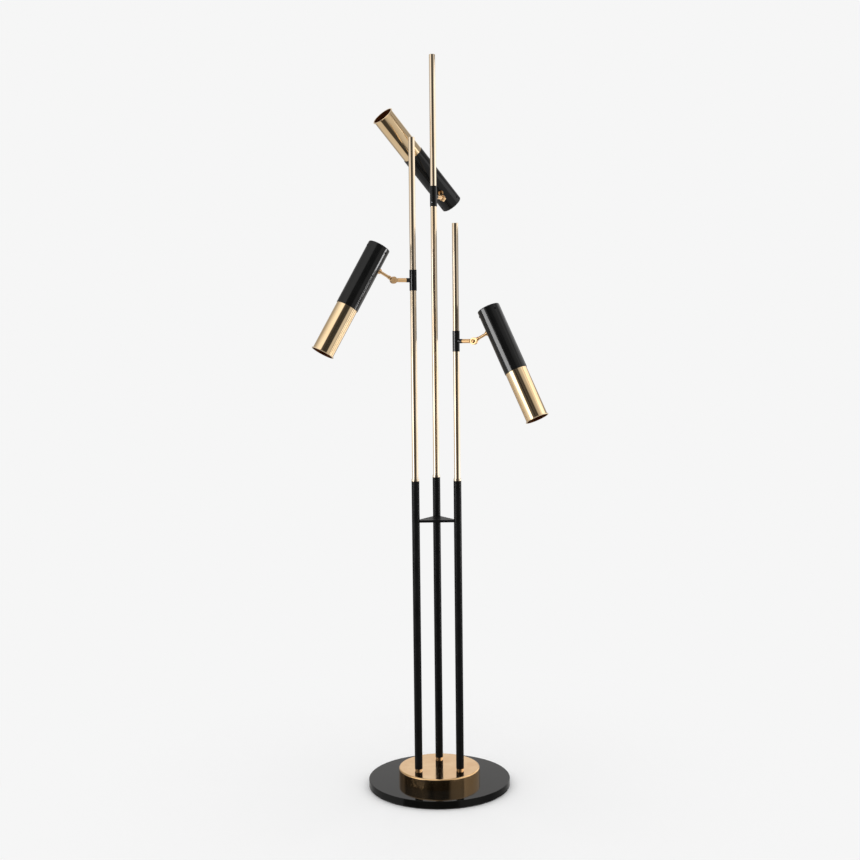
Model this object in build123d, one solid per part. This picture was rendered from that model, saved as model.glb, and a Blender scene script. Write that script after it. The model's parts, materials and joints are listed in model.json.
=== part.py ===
from build123d import *
from dataclasses import dataclass
import math
import os

# Tree floor lamp: a round base, three upright columns and one adjustable spot head on each.
# Millimetres. The origin is the centre of the base's underside and +Z is up. -Y is the front:
# the left and right columns stand in front and the third stands behind them in the middle.

os.makedirs("parts", exist_ok=True)

# ---------------------------------------------------------------- driving dimensions

# Clearances
FIT = 0.05                  # radial gap of a running or push fit
FACE_GAP = 0.05             # gap between flat faces that turn on each other
SEAT_GAP = 0.3              # gap where one piece only stands clear of another
CUT_OVERRUN = 1.0           # how far a cut runs past the face it opens

# Base
PAD_INSET = 3.0             # from the disc's edge in to the pad's
PAD_THICKNESS = 2.0
DISC_DIAMETER = 350.0
DISC_THICKNESS = 18.0
DISC_EDGE = 0.8             # broken edge of the disc
DISC_WEB = 6.0              # metal left above the wiring recess
NUT_ROOM = 6.0              # from the foot nuts' corners to the wall of the recess
COVER_THICKNESS = 2.0
COVER_LEDGE = 7.0           # width of the ledge that the cover plate lies on
DRUM_DIAMETER = 201.0
DRUM_HEIGHT = 27.0
DRUM_WALL = 2.0
DRUM_TOP = 3.0
DRUM_EDGE = 3.5             # rounding of the drum's upper edge
SPACER_DIAMETER = 18.0
INLET_BORE = 6.0            # way through the grommet for a mains lead
GROMMET_WALL = 1.0
GROMMET_LENGTH = 10.0
GROMMET_FLANGE = 1.5        # how far the grommet's flange stands out all round
GROMMET_FLANGE_DEPTH = 2.0

# Countersunk screws in the base
SCREW_DIAMETER = 3.0
SCREW_HEAD_DIAMETER = 6.0
SCREW_HEAD_DEPTH = 1.6
SCREW_LENGTH = 8.0
COVER_SCREW_COUNT = 3

# Terminal block in the recess
TERMINAL_ACROSS_FLATS = 24.0
TERMINAL_COVER_GAP = 0.6
TERMINAL_SCREW_BITE = 3.0   # thread of the block's screw in the disc

# Leads inside the columns
LEAD_DIAMETER = 3.0
LEAD_COVER_GAP = 0.8
LEAD_BEND = 4.0

# Columns
COLUMN_SPACING = 102.0      # between column centres, along each side of the triangle
STUD_THREAD = 10.0
STUD_BORE = 6.0
STUD_PLUG_LENGTH = 25.0
FOOT_NUT_ACROSS_FLATS = 17.0
FOOT_NUT_THICKNESS = 5.0
STUD_PROUD = 0.5            # how far a stud's thread passes its nut
FERRULE_DIAMETER = 18.0
FERRULE_HEIGHT = 4.0
TUBE_DIAMETER = 19.0
TUBE_LENGTH = 713.0
COLLAR_DIAMETER = 18.4
COLLAR_HEIGHT = 5.0
ROD_DIAMETER = 15.0
ROD_WALL = 1.0
ROD_INSERT = 80.0           # length of a rod inside its tube
ROD_TIP_THICKNESS = 2.0
ROD_TIP_SPIGOT = 8.0
ROD_TIP_EDGE = 0.5
BACK_ROD_TOP = 1800.0
LEFT_ROD_TOP = 1588.0
RIGHT_ROD_TOP = 1384.0
BRACE_DROP = 102.0          # from the tubes' tops down to the brace plate's underside
BRACE_THICKNESS = 6.0

# Sleeve that turns on the rod
SLEEVE_DIAMETER = 17.4
SLEEVE_LENGTH = 50.0
NECK_DIAMETER = 10.5
NECK_REACH = 17.0           # from the rod's axis to the neck's face
GRUB_DIAMETER = 3.0
GRUB_LENGTH = 3.0
GRUB_DROP = 15.0            # from the sleeve's middle down to its grub screw
STOP_MARGIN = 3.0           # spare turn of the stop slot in degrees
LEAD_WINDOW = 7.0           # height of the rod's window for the lead

# Arm and knuckle
ARM_REACH = 50.0            # from the rod's axis to the knuckle's axis
ARM_DIAMETER = 10.0
ARM_SPIGOT_DIAMETER = 6.0
ARM_SPIGOT_LENGTH = 6.4
ARM_GROOVE_DEPTH = 0.9
ARM_EDGE = 1.2
LEAD_BORE = 2.6
TONGUE_DIAMETER = 17.0
TONGUE_THICKNESS = 4.5
TONGUE_EDGE = 0.6
KNUCKLE_GAP = 0.3           # from the knuckle's middle plane to each tongue
KNUCKLE_NOSE_GAP = 0.5      # from a tongue's rim to the other limb's shoulder
PIVOT_DIAMETER = 5.0
PIVOT_HEAD_DIAMETER = 10.0
PIVOT_HEAD_HEIGHT = 2.5
PIVOT_SLOT_WIDTH = 1.2
PIVOT_SLOT_DEPTH = 1.0

# Stem
STEM_REACH = 70.0           # from the knuckle's axis to the head's axis
STEM_DIAMETER = 7.0
STEM_ROOT_DIAMETER = 9.0
STEM_ROOT_LENGTH = 6.0
STEM_FLANGE_DIAMETER = 11.0
STEM_FLANGE_THICKNESS = 2.0
STEM_SPIGOT_DIAMETER = 6.0
STEM_PROUD = 0.8            # how far the spigot passes its nut
STEM_NUT_ACROSS_FLATS = 10.0
STEM_NUT_THICKNESS = 4.0
SADDLE_DIAMETER = 13.0
SADDLE_THICKNESS = 3.0

# Head
STEM_FROM_REAR = 52.0       # from the head's rear face to the stem
HOUSING_DIAMETER = 55.0
HOUSING_WALL = 1.2
HOUSING_LENGTH = 166.0      # with the rear cap's flange
HOUSING_EDGE = 0.4
CAP_FLANGE = 3.0
CAP_EDGE = 2.0
CAP_SPIGOT_LENGTH = 15.0
CAP_SPIGOT_WALL = 3.0
CAP_SCREW_FROM_REAR = 12.5
CAP_SCREW_COUNT = 3
CAP_SCREW_DIAMETER = 3.0
CAP_SCREW_HEAD_DIAMETER = 5.0
CAP_SCREW_HEAD_HEIGHT = 1.2
CAP_SCREW_BITE = 2.5        # length of the screw in the cap's spigot
SHADE_VISIBLE = 124.0       # shade outside the housing, with its lip
SHADE_OVERLAP = 30.0        # shade inside the housing
SHADE_WALL = 0.8
SHADE_REAR_WALL = 1.0
SHADE_REAR_HOLE = 30.0
LIP_STAND_OUT = 2.3
LIP_THICKNESS = 1.8
LIP_EDGE = 0.5
HOLDER_FLANGE_DIAMETER = 38.0
HOLDER_FLANGE_THICKNESS = 2.0
HOLDER_DIAMETER = 27.0
HOLDER_LENGTH = 22.0
SOCKET_DEPTH = 9.0
LAMP_DIAMETER = 50.0
LAMP_LENGTH = 54.0
LAMP_RIM = 6.0
LAMP_NECK_DIAMETER = 24.0
LAMP_NECK_LENGTH = 16.0
LAMP_PIN_DIAMETER = 5.0
LAMP_PIN_LENGTH = 7.0
LAMP_PIN_SPACING = 10.0


@dataclass
class HeadSetting:
    """Where one head stands on its rod and how it is turned, in millimetres and degrees."""
    name: str
    column: str
    drop: float             # from the rod's top down to the middle of the sleeve
    azimuth: float          # direction of the arm, seen from above, from +X
    arm_roll: float         # turn of the knuckle about the arm
    tilt: float             # rise of the stem from the arm's line
    spin: float             # turn of the head about its stem
    cap_clock: float        # first cap screw, from the stem's side
    swivel_low: float       # range of the sleeve's turn on the rod
    swivel_high: float

    @property
    def height(self):
        """The middle of the sleeve above the floor."""
        return ROD_TOP[self.column] - self.drop


HEADS = [
    HeadSetting("left", "left", 339.0, 202.0, 0.0, 30.0, 0.0, -63.0, -70.0, 80.0),
    HeadSetting("right", "right", 282.0, -32.0, 0.0, 26.5, 0.0, 90.0, -80.0, 70.0),
    HeadSetting("upper", "back", 342.5, 63.5, -48.7, 39.6, 197.6, 60.0, -90.0, 60.0),
]

# ---------------------------------------------------------------- sizes worked out from them

column_circle = COLUMN_SPACING / math.sqrt(3)
COLUMN_AZIMUTH = {"left": 210.0, "right": 330.0, "back": 90.0}
ROD_TOP = {"left": LEFT_ROD_TOP, "right": RIGHT_ROD_TOP, "back": BACK_ROD_TOP}

disc_bottom = PAD_THICKNESS
disc_top = disc_bottom + DISC_THICKNESS
pad_radius = DISC_DIAMETER / 2 - PAD_INSET
recess_ceiling = disc_top - DISC_WEB
foot_nut_corner = FOOT_NUT_ACROSS_FLATS / 2 / math.cos(math.radians(30))
recess_radius = column_circle + foot_nut_corner + NUT_ROOM
cover_radius = recess_radius + COVER_LEDGE
cover_top = disc_bottom + COVER_THICKNESS
drum_top = disc_top + DRUM_HEIGHT
tube_bottom = drum_top + FERRULE_HEIGHT
tube_top = tube_bottom + TUBE_LENGTH
brace_bottom = tube_top - BRACE_DROP
tube_bore = ROD_DIAMETER + 2 * FIT
stud_hole = STUD_THREAD + 2 * FIT
lead_height = cover_top + LEAD_COVER_GAP + LEAD_DIAMETER / 2
inlet_height = (cover_top + recess_ceiling) / 2
grommet_radius = INLET_BORE / 2 + GROMMET_WALL

housing_radius = HOUSING_DIAMETER / 2
housing_bore = housing_radius - HOUSING_WALL
rear = -STEM_FROM_REAR
housing_rear = rear + CAP_FLANGE
housing_mouth = rear + HOUSING_LENGTH
shade_radius = housing_bore - FIT
shade_rear = housing_mouth - SHADE_OVERLAP
mouth = housing_mouth + SHADE_VISIBLE
lamp_front = shade_rear + SEAT_GAP + LAMP_LENGTH
tongue_radius = TONGUE_DIAMETER / 2
limb_start = tongue_radius + KNUCKLE_NOSE_GAP
saddle_face = STEM_REACH - housing_radius - SADDLE_THICKNESS
inner_saddle_face = STEM_REACH - housing_bore + SADDLE_THICKNESS
spigot_end = inner_saddle_face + FACE_GAP + STEM_NUT_THICKNESS + STEM_PROUD


# ---------------------------------------------------------------- helpers

def save(name, shape):
    """Write one node to its own STEP file."""
    export_step(shape, f"parts/{name}.step")


def post(radius, low, high):
    """A round bar on the Z axis between two heights."""
    return Pos(0, 0, (low + high) / 2) * Cylinder(radius, high - low)


def pipe(outer, inner, low, high):
    """A round tube on the Z axis between two heights."""
    return post(outer, low, high) - post(inner, low, high)


def bar(radius, start, end):
    """A round bar on the X axis between two stations."""
    return Pos((start + end) / 2, 0, 0) * Rot(0, 90, 0) * Cylinder(radius, end - start)


def column_place(name):
    """The centre of a column on the base."""
    angle = math.radians(COLUMN_AZIMUTH[name])
    return Pos(column_circle * math.cos(angle), column_circle * math.sin(angle), 0)


def at_columns(shape):
    """The same piece at all three columns."""
    return Compound(children=[column_place(name) * shape for name in COLUMN_AZIMUTH])


def hexagon(across_flats, low, high):
    """A hexagonal prism with one flat towards +Y."""
    outline = RegularPolygon(across_flats / 2, 6, major_radius=False)
    return Pos(0, 0, low) * extrude(outline, high - low)


def countersunk_screw():
    """A countersunk screw that points up, with its head's face at height 0."""
    head = Pos(0, 0, SCREW_HEAD_DEPTH / 2) * Cone(
        SCREW_HEAD_DIAMETER / 2, SCREW_DIAMETER / 2, SCREW_HEAD_DEPTH)
    return head + post(SCREW_DIAMETER / 2, SCREW_HEAD_DEPTH, SCREW_HEAD_DEPTH + SCREW_LENGTH)


def screw_room():
    """The hole that a countersunk screw fits."""
    radius = SCREW_DIAMETER / 2
    head = Pos(0, 0, SCREW_HEAD_DEPTH / 2) * Cone(
        SCREW_HEAD_DIAMETER / 2 + FIT, radius + FIT, SCREW_HEAD_DEPTH)
    return head + post(radius + FIT, SCREW_HEAD_DEPTH, SCREW_HEAD_DEPTH + SCREW_LENGTH + FIT)


def cover_screw_places():
    """The cover screws stand on the ledge, between the columns."""
    reach = recess_radius + COVER_LEDGE / 2
    for index in range(COVER_SCREW_COUNT):
        yield Rot(0, 0, 30 + 360 * index / COVER_SCREW_COUNT) * Pos(reach, 0, disc_bottom)


def sector(outer, low, high, start, end):
    """A wedge about the Z axis between two angles and two heights, for cutting slots."""
    steps = max(2, math.ceil((end - start) / 60) + 1)
    far = outer / math.cos(math.radians((end - start) / (steps - 1) / 2)) + CUT_OVERRUN
    rim = []
    for index in range(steps):
        angle = math.radians(start + (end - start) * index / (steps - 1))
        rim.append((far * math.cos(angle), far * math.sin(angle)))
    outline = make_face(Polyline((0, 0), *rim, close=True))
    return Pos(0, 0, low) * extrude(outline, high - low)


# ---------------------------------------------------------------- base

def make_disc():
    """The heavy foot disc, with the wiring recess under it."""
    disc = post(DISC_DIAMETER / 2, disc_bottom, disc_top)
    rims = disc.edges().filter_by(GeomType.CIRCLE)
    disc = chamfer(rims, DISC_EDGE)
    disc -= post(cover_radius + FIT, disc_bottom, cover_top)
    disc -= post(recess_radius, disc_bottom, recess_ceiling)
    disc -= at_columns(post(stud_hole / 2, recess_ceiling, disc_top))
    inlet = Pos(0, 0, inlet_height) * Rot(0, 0, 90) * bar(
        grommet_radius, recess_radius - DISC_WEB, DISC_DIAMETER / 2)
    seat = Pos(0, 0, inlet_height) * Rot(0, 0, 90) * bar(
        grommet_radius + GROMMET_FLANGE + FIT,
        DISC_DIAMETER / 2 - GROMMET_FLANGE_DEPTH, DISC_DIAMETER / 2 + CUT_OVERRUN)
    disc -= inlet + seat
    for place in cover_screw_places():
        disc -= place * screw_room()
    disc -= Pos(0, 0, terminal_screw_height) * screw_room()
    return disc


def make_grommet():
    """The bush where a mains lead would enter, at the back of the disc."""
    rim = DISC_DIAMETER / 2
    body = bar(grommet_radius, rim - GROMMET_LENGTH, rim - GROMMET_FLANGE_DEPTH)
    flange = bar(grommet_radius + GROMMET_FLANGE, rim - GROMMET_FLANGE_DEPTH, rim)
    way = bar(INLET_BORE / 2, rim - GROMMET_LENGTH, rim)
    return Pos(0, 0, inlet_height) * Rot(0, 0, 90) * (body + flange - way)


def make_cover():
    """The plate that closes the wiring recess."""
    cover = post(cover_radius, disc_bottom, cover_top)
    for place in cover_screw_places():
        cover -= place * screw_room()
    return cover


def make_drum():
    """The polished drum on the disc: a turned shell, open underneath."""
    drum = post(DRUM_DIAMETER / 2, disc_top, drum_top)
    upper = drum.edges().filter_by(GeomType.CIRCLE).sort_by(Axis.Z)[-1]
    drum = fillet(upper, DRUM_EDGE)
    hollow = post(DRUM_DIAMETER / 2 - DRUM_WALL, disc_top, drum_top - DRUM_TOP)
    inner = hollow.edges().filter_by(GeomType.CIRCLE).sort_by(Axis.Z)[-1]
    hollow = fillet(inner, max(DRUM_EDGE - DRUM_WALL, FIT))
    drum -= hollow
    drum -= at_columns(post(stud_hole / 2, drum_top - DRUM_TOP, drum_top))
    return drum


terminal_bottom = cover_top + TERMINAL_COVER_GAP
terminal_screw_height = recess_ceiling + TERMINAL_SCREW_BITE - SCREW_LENGTH - SCREW_HEAD_DEPTH


def make_terminal_block():
    """The six-sided block that joins the three inner leads."""
    block = hexagon(TERMINAL_ACROSS_FLATS, terminal_bottom, recess_ceiling)
    block -= post(SCREW_HEAD_DIAMETER / 2 + FIT, terminal_bottom, terminal_screw_height)
    block -= Pos(0, 0, terminal_screw_height) * screw_room()
    return block


def make_lead(column, top):
    """One inner lead: out of the terminal block, then up inside its column."""
    path = FilletPolyline(
        (TERMINAL_ACROSS_FLATS / 2, 0, lead_height),
        (column_circle, 0, lead_height),
        (column_circle, 0, top),
        radius=LEAD_BEND)
    section = Plane(path @ 0, z_dir=path % 0) * Circle(LEAD_DIAMETER / 2)
    return Rot(0, 0, COLUMN_AZIMUTH[column]) * sweep(section, path=path)


save("base_pad", post(pad_radius, 0, PAD_THICKNESS))
save("base_disc", make_disc())
save("base_cover", make_cover())
save("base_screws", Compound(children=[
    *[place * countersunk_screw() for place in cover_screw_places()],
    Pos(0, 0, terminal_screw_height) * countersunk_screw()]))
save("base_drum", make_drum())
save("drum_spacers", at_columns(
    pipe(SPACER_DIAMETER / 2, stud_hole / 2, disc_top, drum_top - DRUM_TOP)))
save("inlet_grommet", make_grommet())
save("terminal_block", make_terminal_block())
save("inner_leads", Compound(children=[
    make_lead(head.column, head.height) for head in HEADS]))

# ---------------------------------------------------------------- columns

stud_plug = pipe(tube_bore / 2 - FIT, STUD_BORE / 2, tube_bottom, tube_bottom + STUD_PLUG_LENGTH)
stud_end = recess_ceiling - FOOT_NUT_THICKNESS - STUD_PROUD
stud_shank = pipe(STUD_THREAD / 2, STUD_BORE / 2, stud_end, tube_bottom)
foot_nut = hexagon(FOOT_NUT_ACROSS_FLATS, recess_ceiling - FOOT_NUT_THICKNESS, recess_ceiling)
foot_nut -= post(stud_hole / 2, recess_ceiling - FOOT_NUT_THICKNESS, recess_ceiling)

save("foot_studs", at_columns(stud_plug + stud_shank))
save("foot_nuts", at_columns(foot_nut))
save("foot_ferrules", at_columns(
    pipe(FERRULE_DIAMETER / 2, stud_hole / 2, drum_top, tube_bottom)))
save("tube_collars", at_columns(
    pipe(COLLAR_DIAMETER / 2, tube_bore / 2, tube_top, tube_top + COLLAR_HEIGHT)))


def make_rod(head):
    """A polished rod with the window for its lead and the slot for its sleeve's stop."""
    inner = ROD_DIAMETER / 2 - ROD_WALL
    rod = pipe(ROD_DIAMETER / 2, inner, tube_top - ROD_INSERT,
               ROD_TOP[head.column] - ROD_TIP_THICKNESS)
    half_window = math.degrees(math.asin(LEAD_WINDOW / ROD_DIAMETER))
    window = sector(ROD_DIAMETER / 2, -LEAD_WINDOW / 2, LEAD_WINDOW / 2,
                    head.azimuth + head.swivel_low - half_window,
                    head.azimuth + head.swivel_high + half_window)
    half_grub = math.degrees(math.asin((GRUB_DIAMETER / 2 + FIT) / inner)) + STOP_MARGIN
    slot = sector(ROD_DIAMETER / 2, -GRUB_DROP - GRUB_DIAMETER / 2 - FIT,
                  -GRUB_DROP + GRUB_DIAMETER / 2 + FIT,
                  head.azimuth + 180 + head.swivel_low - half_grub,
                  head.azimuth + 180 + head.swivel_high + half_grub)
    return column_place(head.column) * (rod - Pos(0, 0, head.height) * (window + slot))


def make_rod_tip(top):
    """The turned plug that closes a rod."""
    disc = post(ROD_DIAMETER / 2, top - ROD_TIP_THICKNESS, top)
    disc = chamfer(disc.edges().filter_by(GeomType.CIRCLE).sort_by(Axis.Z)[-1], ROD_TIP_EDGE)
    spigot = post(ROD_DIAMETER / 2 - ROD_WALL - FIT,
                  top - ROD_TIP_THICKNESS - ROD_TIP_SPIGOT, top - ROD_TIP_THICKNESS)
    return disc + spigot


def make_brace():
    """The triangular plate brazed between the tubes."""
    corners = []
    for name in ("left", "right", "back"):
        angle = math.radians(COLUMN_AZIMUTH[name])
        corners.append((column_circle * math.cos(angle), column_circle * math.sin(angle)))
    outline = make_face(Polyline(*corners, close=True))
    plate = Pos(0, 0, brace_bottom) * extrude(outline, BRACE_THICKNESS)
    return plate - at_columns(
        post(TUBE_DIAMETER / 2, brace_bottom, brace_bottom + BRACE_THICKNESS))


for name in COLUMN_AZIMUTH:
    save(f"{name}_tube", column_place(name) * pipe(
        TUBE_DIAMETER / 2, tube_bore / 2, tube_bottom, tube_top))
for head in HEADS:
    save(f"{head.column}_rod", make_rod(head))
save("rod_tips", Compound(children=[
    column_place(name) * make_rod_tip(top) for name, top in ROD_TOP.items()]))
save("brace_plate", make_brace())

# ---------------------------------------------------------------- heads

# The sleeve and arm are drawn with the rod on Z and the arm along +X, the knuckle and stem with
# the knuckle's axis on Y and the stem along +X, and the head with its mouth towards +Z and its
# stem on the +X side. Each is then carried to its place.


def make_sleeve():
    """The black sleeve, with the neck that the arm turns in."""
    half = SLEEVE_LENGTH / 2
    sleeve = post(SLEEVE_DIAMETER / 2, -half, half) + bar(NECK_DIAMETER / 2, 0, NECK_REACH)
    sleeve -= post(ROD_DIAMETER / 2 + FIT, -half, half)
    sleeve -= bar(ARM_SPIGOT_DIAMETER / 2 + FIT, 0, NECK_REACH)
    sleeve -= grub_places(GRUB_DIAMETER / 2)
    return sleeve


def grub_places(radius):
    """The sleeve's stop screw behind the rod and the neck's screw under the arm."""
    stop = Pos(0, 0, -GRUB_DROP) * bar(
        radius, -SLEEVE_DIAMETER / 2, -SLEEVE_DIAMETER / 2 + GRUB_LENGTH)
    neck = Pos(neck_screw, 0, 0) * post(
        radius, -NECK_DIAMETER / 2, -NECK_DIAMETER / 2 + GRUB_LENGTH)
    return Compound(children=[stop, neck])


neck_screw = NECK_REACH - ARM_SPIGOT_LENGTH / 2


def make_arm():
    """The brass arm: a spigot that turns in the neck, and one half of the knuckle."""
    shoulder = NECK_REACH + FACE_GAP
    nose = ARM_REACH - limb_start
    body = bar(ARM_DIAMETER / 2, shoulder, nose)
    body = chamfer(body.edges().filter_by(GeomType.CIRCLE), ARM_EDGE)
    body += bar(ARM_SPIGOT_DIAMETER / 2, shoulder - ARM_SPIGOT_LENGTH, shoulder + ARM_EDGE)
    half_groove = GRUB_DIAMETER / 2 + FIT
    ring = bar(ARM_SPIGOT_DIAMETER / 2 + CUT_OVERRUN,
               neck_screw - half_groove, neck_screw + half_groove)
    ring -= bar(ARM_SPIGOT_DIAMETER / 2 - ARM_GROOVE_DEPTH,
                neck_screw - half_groove, neck_screw + half_groove)
    body -= ring
    tongue = Pos(ARM_REACH, 0, 0) * make_tongue(-1, ARM_DIAMETER)
    arm = body + tongue
    arm -= bar(LEAD_BORE / 2, shoulder - ARM_SPIGOT_LENGTH, nose)
    return arm


def make_tongue(side, width):
    """Half of the knuckle on the side of -Y (1) or +Y (-1), with its root towards side * +X."""
    near = KNUCKLE_GAP
    far = KNUCKLE_GAP + TONGUE_THICKNESS
    eye = Pos(0, -side * (near + far) / 2, 0) * Rot(90, 0, 0) * Cylinder(
        tongue_radius, TONGUE_THICKNESS)
    eye = chamfer(eye.edges().filter_by(GeomType.CIRCLE), TONGUE_EDGE)
    root = Pos(side * (limb_start + ARM_EDGE) / 2, -side * (near + far) / 2, 0) * Box(
        limb_start + ARM_EDGE, TONGUE_THICKNESS, width - 2 * ARM_EDGE)
    hole = Rot(90, 0, 0) * Cylinder(PIVOT_DIAMETER / 2 + FIT, 4 * far)
    return eye + root - hole


def make_pivot_screw():
    """The slotted screw through the knuckle, with its head on the stem's side."""
    thread_end = KNUCKLE_GAP + TONGUE_THICKNESS
    head_face = -(KNUCKLE_GAP + TONGUE_THICKNESS + FACE_GAP)
    shank = post(PIVOT_DIAMETER / 2, head_face, thread_end)
    head = post(PIVOT_HEAD_DIAMETER / 2, head_face - PIVOT_HEAD_HEIGHT, head_face)
    head = chamfer(head.edges().filter_by(GeomType.CIRCLE).sort_by(Axis.Z)[0], TONGUE_EDGE)
    slot = Pos(0, 0, head_face - PIVOT_HEAD_HEIGHT + PIVOT_SLOT_DEPTH / 2) * Box(
        PIVOT_HEAD_DIAMETER, PIVOT_SLOT_WIDTH, PIVOT_SLOT_DEPTH)
    return Rot(-90, 0, 0) * (shank + head - slot)


def make_stem():
    """The brass stem: the other half of the knuckle, and the spigot that the head turns on."""
    root_end = limb_start + STEM_ROOT_LENGTH
    flange_face = saddle_face - FACE_GAP
    root = bar(STEM_ROOT_DIAMETER / 2, limb_start, root_end)
    root = chamfer(root.edges().filter_by(GeomType.CIRCLE), TONGUE_EDGE)
    stem = root + bar(STEM_DIAMETER / 2, limb_start + TONGUE_EDGE, flange_face)
    stem += bar(STEM_FLANGE_DIAMETER / 2, flange_face - STEM_FLANGE_THICKNESS, flange_face)
    stem += bar(STEM_SPIGOT_DIAMETER / 2, flange_face, spigot_end)
    stem += make_tongue(1, STEM_ROOT_DIAMETER)
    return stem - bar(LEAD_BORE / 2, limb_start, spigot_end)


def make_stem_nut():
    """The nut that holds the head on its stem, inside the housing."""
    low = inner_saddle_face + FACE_GAP
    nut = hexagon(STEM_NUT_ACROSS_FLATS, low, low + STEM_NUT_THICKNESS)
    nut -= post(STEM_SPIGOT_DIAMETER / 2, low, low + STEM_NUT_THICKNESS)
    return Rot(0, 90, 0) * nut


def make_saddles():
    """The two saddle washers that seat the stem, outside and inside the housing's wall."""
    seat_radius = SADDLE_DIAMETER / 2
    blank = bar(seat_radius, 0, housing_radius + SADDLE_THICKNESS)
    outer = blank - post(housing_radius, -SADDLE_DIAMETER, SADDLE_DIAMETER)
    inner = bar(seat_radius, housing_bore - SADDLE_THICKNESS, housing_radius)
    inner &= post(housing_bore, -SADDLE_DIAMETER, SADDLE_DIAMETER)
    way = bar(STEM_SPIGOT_DIAMETER / 2 + FIT, 0, housing_radius + SADDLE_THICKNESS)
    return Compound(children=[outer - way, inner - way])


def cap_screw_places(head):
    """The cap screws stand round the rear of the housing and point inwards."""
    for index in range(CAP_SCREW_COUNT):
        turn = head.cap_clock + 360 * index / CAP_SCREW_COUNT
        yield Rot(0, 0, turn) * Pos(housing_radius, 0, rear + CAP_SCREW_FROM_REAR)


def make_housing(head):
    """The black tube of the head."""
    housing = pipe(housing_radius, housing_bore, housing_rear, housing_mouth)
    lip = housing.edges().filter_by(GeomType.CIRCLE).sort_by(SortBy.RADIUS)[-2:]
    housing = chamfer(lip.sort_by(Axis.Z)[-1], HOUSING_EDGE)
    housing -= bar(STEM_SPIGOT_DIAMETER / 2 + FIT, 0, housing_radius)
    for place in cap_screw_places(head):
        housing -= place * bar(
            CAP_SCREW_DIAMETER / 2, -HOUSING_WALL - CUT_OVERRUN, CUT_OVERRUN)
    return housing


def make_rear_cap(head):
    """The turned cap that closes the rear, with a hollow spigot for its screws."""
    flange = post(housing_radius, rear, housing_rear)
    flange = fillet(flange.edges().filter_by(GeomType.CIRCLE).sort_by(Axis.Z)[0], CAP_EDGE)
    outer = housing_bore - FIT
    cap = flange + pipe(outer, outer - CAP_SPIGOT_WALL, housing_rear,
                        housing_rear + CAP_SPIGOT_LENGTH)
    for place in cap_screw_places(head):
        cap -= place * bar(
            CAP_SCREW_DIAMETER / 2, -HOUSING_WALL - FIT - CAP_SCREW_BITE, CUT_OVERRUN)
    return cap


def make_cap_screws(head):
    """The small round-headed screws of the rear cap."""
    seat = housing_radius - math.sqrt(housing_radius ** 2 - (CAP_SCREW_HEAD_DIAMETER / 2) ** 2)
    shank = bar(CAP_SCREW_DIAMETER / 2, -HOUSING_WALL - FIT - CAP_SCREW_BITE, 0)
    knob = bar(CAP_SCREW_HEAD_DIAMETER / 2, -seat, CAP_SCREW_HEAD_HEIGHT)
    knob = chamfer(knob.edges().filter_by(GeomType.CIRCLE).sort_by(Axis.X)[-1],
                   CAP_SCREW_HEAD_HEIGHT / 3)
    knob -= Pos(-housing_radius, 0, 0) * post(
        housing_radius, -CAP_SCREW_HEAD_DIAMETER, CAP_SCREW_HEAD_DIAMETER)
    return Compound(children=[place * (shank + knob) for place in cap_screw_places(head)])


def make_shade():
    """The brass shade: a spun cup with a lip at its mouth and a hole for the lamp holder."""
    shade = post(shade_radius, shade_rear, mouth)
    lip = post(shade_radius + LIP_STAND_OUT, mouth - LIP_THICKNESS, mouth)
    lip = chamfer(lip.edges().filter_by(GeomType.CIRCLE), LIP_EDGE)
    shade += lip
    shade -= post(shade_radius - SHADE_WALL, shade_rear + SHADE_REAR_WALL, mouth)
    return shade - post(SHADE_REAR_HOLE / 2, shade_rear, shade_rear + SHADE_REAR_WALL)


def make_holder():
    """The ceramic lamp holder behind the shade's rear wall."""
    holder = post(HOLDER_FLANGE_DIAMETER / 2, shade_rear - HOLDER_FLANGE_THICKNESS, shade_rear)
    holder += post(HOLDER_DIAMETER / 2, shade_rear - HOLDER_LENGTH, shade_rear)
    for side in (-1, 1):
        holder -= Pos(side * LAMP_PIN_SPACING / 2, 0, 0) * post(
            LAMP_PIN_DIAMETER / 2 + FIT, shade_rear - SOCKET_DEPTH, shade_rear)
    return holder


def make_lamp():
    """The reflector lamp, with its two pins in the holder."""
    back = shade_rear + SEAT_GAP
    neck = post(LAMP_NECK_DIAMETER / 2, back, back + LAMP_NECK_LENGTH)
    bowl_low = back + LAMP_NECK_LENGTH
    bowl_high = lamp_front - LAMP_RIM
    bowl = Pos(0, 0, (bowl_low + bowl_high) / 2) * Cone(
        LAMP_NECK_DIAMETER / 2, LAMP_DIAMETER / 2, bowl_high - bowl_low)
    lamp = neck + bowl + post(LAMP_DIAMETER / 2, bowl_high, lamp_front)
    for side in (-1, 1):
        lamp += Pos(side * LAMP_PIN_SPACING / 2, 0, 0) * post(
            LAMP_PIN_DIAMETER / 2, shade_rear - LAMP_PIN_LENGTH, back)
    return lamp


def turn(vector, axis, angle):
    """A direction turned about an axis through the origin, by the right-hand rule."""
    return vector.rotate(Axis((0, 0, 0), axis), angle)


def head_frames(head):
    """The planes that carry the sleeve, the arm, the stem and the head to their places."""
    centre = column_place(head.column).position + Vector(0, 0, head.height)
    up = Vector(0, 0, 1)
    along = turn(Vector(1, 0, 0), up, head.azimuth)
    rolled_up = turn(up, along, head.arm_roll)
    hinge = along.cross(rolled_up)
    stem_along = turn(along, hinge, head.tilt)
    stem_up = turn(rolled_up, hinge, head.tilt)
    towards_mouth = turn(-stem_up, stem_along, head.spin)
    knuckle = centre + along * ARM_REACH
    crossing = knuckle + stem_along * STEM_REACH
    return {
        "sleeve": Plane(centre, x_dir=along, z_dir=up),
        "arm": Plane(centre, x_dir=along, z_dir=rolled_up),
        "stem": Plane(knuckle, x_dir=stem_along, z_dir=stem_up),
        "head": Plane(crossing, x_dir=-stem_along, z_dir=towards_mouth),
        "hinge": hinge,
    }


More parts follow.
